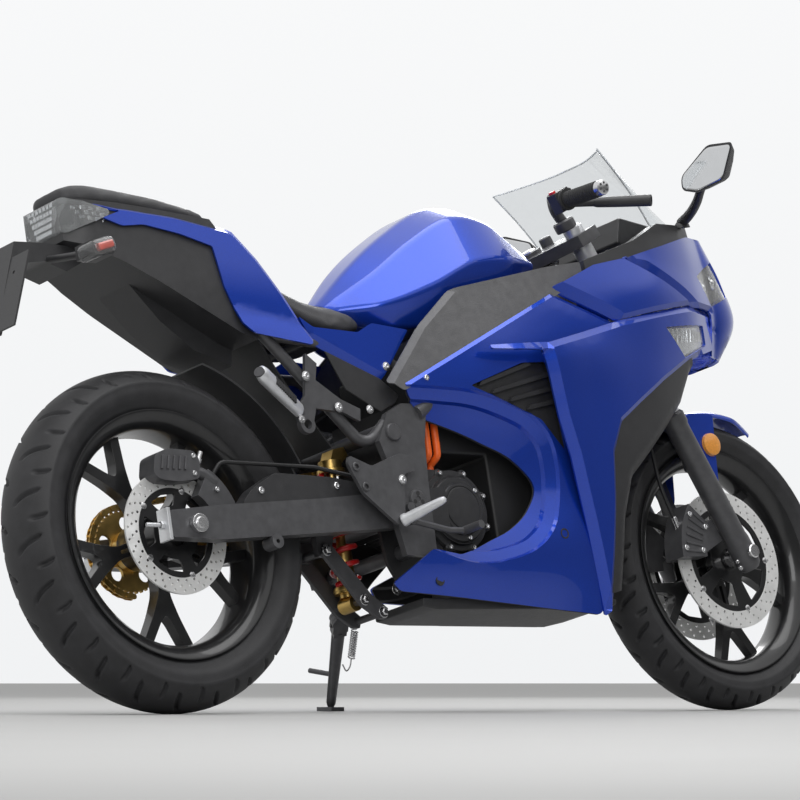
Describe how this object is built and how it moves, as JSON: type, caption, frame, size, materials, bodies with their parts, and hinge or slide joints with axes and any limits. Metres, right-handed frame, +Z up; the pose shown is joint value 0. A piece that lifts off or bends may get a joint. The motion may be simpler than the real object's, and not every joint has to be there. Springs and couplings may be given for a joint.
{
  "type": "electric motorcycle",
  "caption": "Full-fairing electric sport motorcycle leaning on its side stand, with mid-mounted motor, chain drive, disc brakes, clip-on bars and a stepped seat.",
  "frame": {"origin": "middle of the overall box, on the floor", "axes": "+X forward along the machine, +Y to the rider's left, +Z up; the machine leans 12.5 degrees to +Y on its stand"},
  "size_m": [2.0138, 0.7564, 1.1225],
  "materials": {
    "black_metal": "satin",
    "bright_steel": "satin",
    "gold_steel": "plated",
    "spring_red": "gloss",
    "motor_black": "satin",
    "pack_case": "matt",
    "blue_paint": "metallic gloss",
    "clear_lens": "clear",
    "black_plastic": "grained",
    "screen": "clear",
    "mirror": "polished",
    "seat_vinyl": "grained",
    "grey_lens": "clear",
    "hose": "satin",
    "orange_cable": "satin",
    "grip_rubber": "matt",
    "tyre_rubber": "matt",
    "disc_steel": "ground"
  },
  "bodies": {
    "chassis": {"main_frame": "black_metal", "swingarm": "black_metal", "rear_axle": "bright_steel", "rear_damper": "gold_steel", "rear_spring": "spring_red", "shock_rocker": "black_metal", "motor": "motor_black", "battery_pack": "pack_case", "drive_chain": "gold_steel", "mid_fairing_right": "blue_paint", "mid_fairing_left": "blue_paint", "side_wing_right": "blue_paint", "side_wing_left": "blue_paint", "front_signals": "clear_lens", "knee_panels": "black_plastic", "vent_grilles": "black_plastic", "inner_panels": "black_plastic", "nose_cowl": "blue_paint", "headlamps": "clear_lens", "cockpit_trim": "black_plastic", "belly_tray": "black_plastic", "windscreen": "screen", "instrument_panel": "black_plastic", "mirrors": "black_plastic", "mirror_glass": "mirror", "tank_cover": "blue_paint", "rider_seat": "seat_vinyl", "pillion_seat": "seat_vinyl", "tail_cowl_right": "blue_paint", "tail_cowl_left": "blue_paint", "under_tail": "black_plastic", "tail_light": "grey_lens", "plate_holder": "black_plastic", "side_panels": "blue_paint", "frame_covers": "black_plastic", "hugger": "black_plastic", "rider_pegs": "bright_steel", "brake_pedal": "black_metal", "passenger_pegs": "black_metal", "rear_brake": "black_metal", "rear_brake_hose": "hose", "motor_cables": "orange_cable"},
    "steering": {"fork_legs": "black_metal", "triple_clamps": "black_metal", "handlebars": "black_metal", "grips": "grip_rubber", "brake_levers": "black_metal", "front_fender": "blue_paint", "front_calipers": "black_metal", "front_brake_hoses": "hose"},
    "front_wheel": {"front_tyre": "tyre_rubber", "front_rim": "black_metal", "front_discs": "disc_steel"},
    "rear_wheel": {"rear_tyre": "tyre_rubber", "rear_rim": "black_metal", "rear_disc": "disc_steel", "rear_sprocket": "gold_steel"},
    "side_stand": {"side_stand": "black_metal"}
  },
  "joints": [
    {"name": "steer", "type": "hinge", "parent": "chassis", "child": "steering", "pos_m": [0.40597, -0.0433, 0.79186], "axis": [-0.454, 0.1928, 0.8699], "range_deg": [-26, 26]},
    {"name": "front_wheel_spin", "type": "hinge", "parent": "steering", "child": "front_wheel", "pos_m": [0.714, -0.15508, 0.28765], "axis": [0, 0.9763, -0.2164], "continuous": true},
    {"name": "rear_wheel_spin", "type": "hinge", "parent": "chassis", "child": "rear_wheel", "pos_m": [-0.686, -0.15097, 0.3062], "axis": [0, 0.9763, -0.2164], "continuous": true},
    {"name": "stand_fold", "type": "hinge", "parent": "chassis", "child": "side_stand", "pos_m": [-0.175, -0.05784, 0.17186], "axis": [0.1653, 0.6864, 0.7082], "range_deg": [0, 110]}
  ]
}
